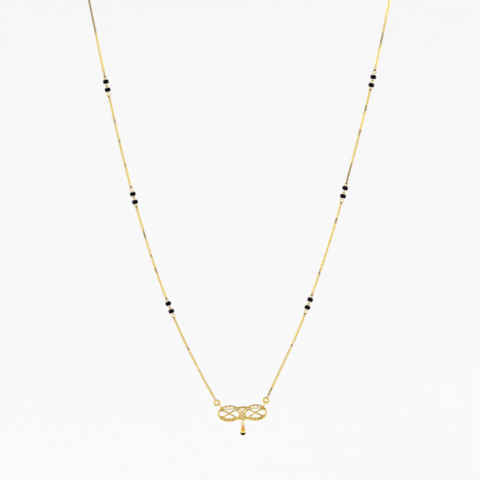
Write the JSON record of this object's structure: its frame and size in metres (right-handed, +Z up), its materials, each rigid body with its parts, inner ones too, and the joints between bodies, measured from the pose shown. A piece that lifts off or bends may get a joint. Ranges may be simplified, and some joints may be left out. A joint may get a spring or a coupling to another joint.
{
  "type": "mangalsutra necklace",
  "caption": "Fine gold box chain mangalsutra in its worn form, with black beads set in pairs, a pierced interlaced pendant and a small bead drop.",
  "frame": {"origin": "middle of the neck, level with where the two strands pass from its sides on to the front", "axes": "+Z up as worn; the wearer's front faces -Y; +X is to the right as seen from the front, which node names call right"},
  "size_m": [0.1132, 0.1037, 0.1758],
  "materials": {
    "gold": "polished yellow gold",
    "black_glass": "polished opaque black glass"
  },
  "bodies": {
    "necklace": {"bead_left_top_upper": "black_glass", "bead_left_top_lower": "black_glass", "bead_left_middle_upper": "black_glass", "bead_left_middle_lower": "black_glass", "bead_left_low_upper": "black_glass", "bead_left_low_lower": "black_glass", "bead_right_top_upper": "black_glass", "bead_right_top_lower": "black_glass", "bead_right_middle_upper": "black_glass", "bead_right_middle_lower": "black_glass", "bead_right_low_upper": "black_glass", "bead_right_low_lower": "black_glass", "pin_left_top_upper": "gold", "pin_left_top_lower": "gold", "pin_left_middle_upper": "gold", "pin_left_middle_lower": "gold", "pin_left_low_upper": "gold", "pin_left_low_lower": "gold", "pin_right_top_upper": "gold", "pin_right_top_lower": "gold", "pin_right_middle_upper": "gold", "pin_right_middle_lower": "gold", "pin_right_low_upper": "gold", "pin_right_low_lower": "gold", "chain_left_back": "gold", "chain_left_upper": "gold", "chain_left_lower": "gold", "chain_left_pendant": "gold", "chain_right_back": "gold", "chain_right_upper": "gold", "chain_right_lower": "gold", "chain_right_pendant": "gold", "jump_ring_left": "gold", "jump_ring_right": "gold", "pendant": "gold", "s_hook": "gold"},
    "drop_ring": {"drop_ring": "gold"},
    "drop": {"drop_cap": "gold", "drop_bead": "black_glass"}
  },
  "joints": [
    {"name": "ring_swing", "type": "hinge", "parent": "necklace", "child": "drop_ring", "pos_m": [0.00137, -0.05983, -0.14927], "axis": [0, 1, 0], "range_deg": [-60, 60]},
    {"name": "drop_swing", "type": "hinge", "parent": "drop_ring", "child": "drop", "pos_m": [0.00137, -0.05983, -0.1501], "axis": [1, 0, 0], "range_deg": [-60, 60]}
  ]
}
